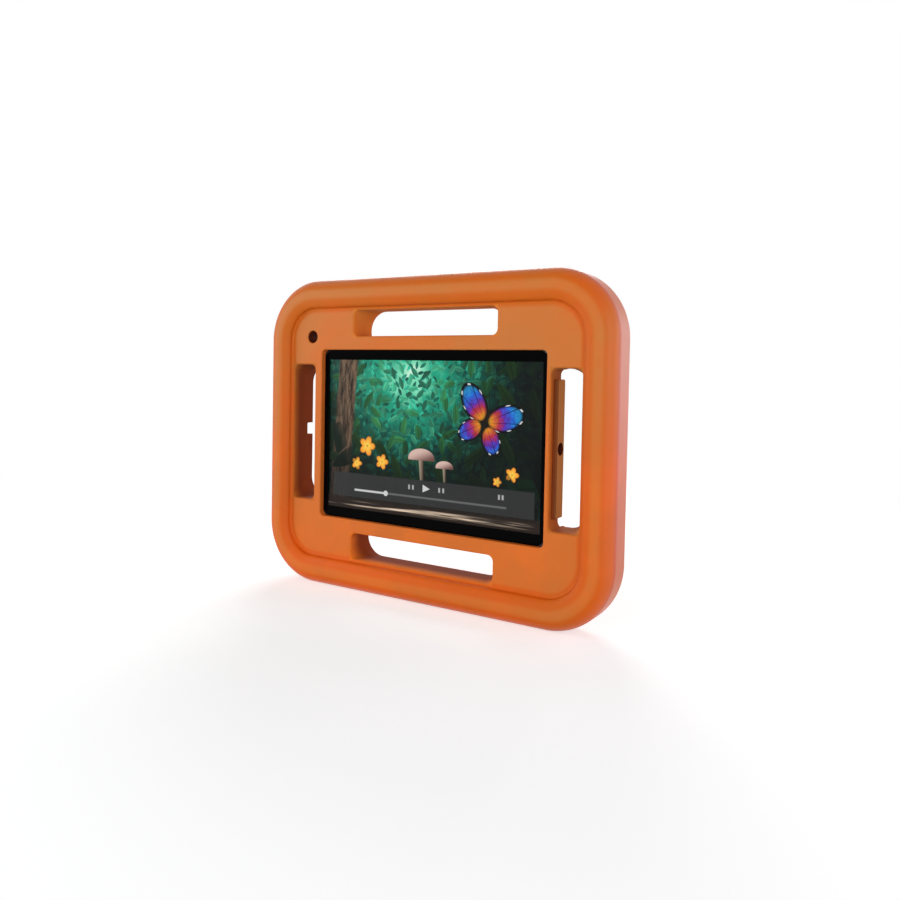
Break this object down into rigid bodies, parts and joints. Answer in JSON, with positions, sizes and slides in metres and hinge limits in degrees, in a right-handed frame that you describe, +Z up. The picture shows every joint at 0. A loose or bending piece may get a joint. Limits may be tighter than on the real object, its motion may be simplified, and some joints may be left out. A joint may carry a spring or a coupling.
{
  "type": "shockproof tablet case",
  "caption": "Moulded foam tablet case: rounded landscape frame with a hand slot along each side, holding a flat slab tablet behind a front lip.",
  "frame": {"origin": "middle of the case's bounding box, on the lower side it stands on", "axes": "+X to the right along the screen's long side, +Y from the screen to the back, +Z up"},
  "size_m": [0.2974, 0.029, 0.2404],
  "materials": {
    "orange_foam": "matt closed-cell foam, satin skin",
    "grey_metal": "fine blasted",
    "port_steel": "satin",
    "black_glass": "polished, black border",
    "lit_display": "lit picture area",
    "green_board": "satin solder mask",
    "battery_wrap": "matt film"
  },
  "bodies": {
    "root": {"foam_case": "orange_foam", "tablet_housing": "grey_metal", "charging_port": "port_steel", "cover_glass": "black_glass", "display_panel": "lit_display", "main_board": "green_board", "battery": "battery_wrap"}
  },
  "joints": []
}
